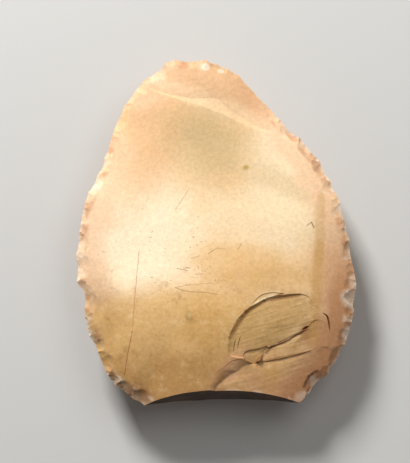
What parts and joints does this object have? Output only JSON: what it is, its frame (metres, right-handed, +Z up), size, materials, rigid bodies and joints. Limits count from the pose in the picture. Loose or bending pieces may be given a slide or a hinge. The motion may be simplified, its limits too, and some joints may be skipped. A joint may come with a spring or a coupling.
{
  "type": "stone hand axe",
  "caption": "Rounded, pointed hand axe of pale flint, worked along its edge from one large flake, lying with its smooth face up.",
  "frame": {"origin": "under the middle of the stone, on the surface it lies on", "axes": "+Z up, out of the smooth face; +Y from the struck butt to the tip; +X to the right when the smooth face is looked at with the tip away"},
  "size_m": [0.1064, 0.1328, 0.0256],
  "materials": {
    "flint": "satin, patinated"
  },
  "bodies": {
    "root": {"hand_axe": "flint"}
  },
  "joints": []
}
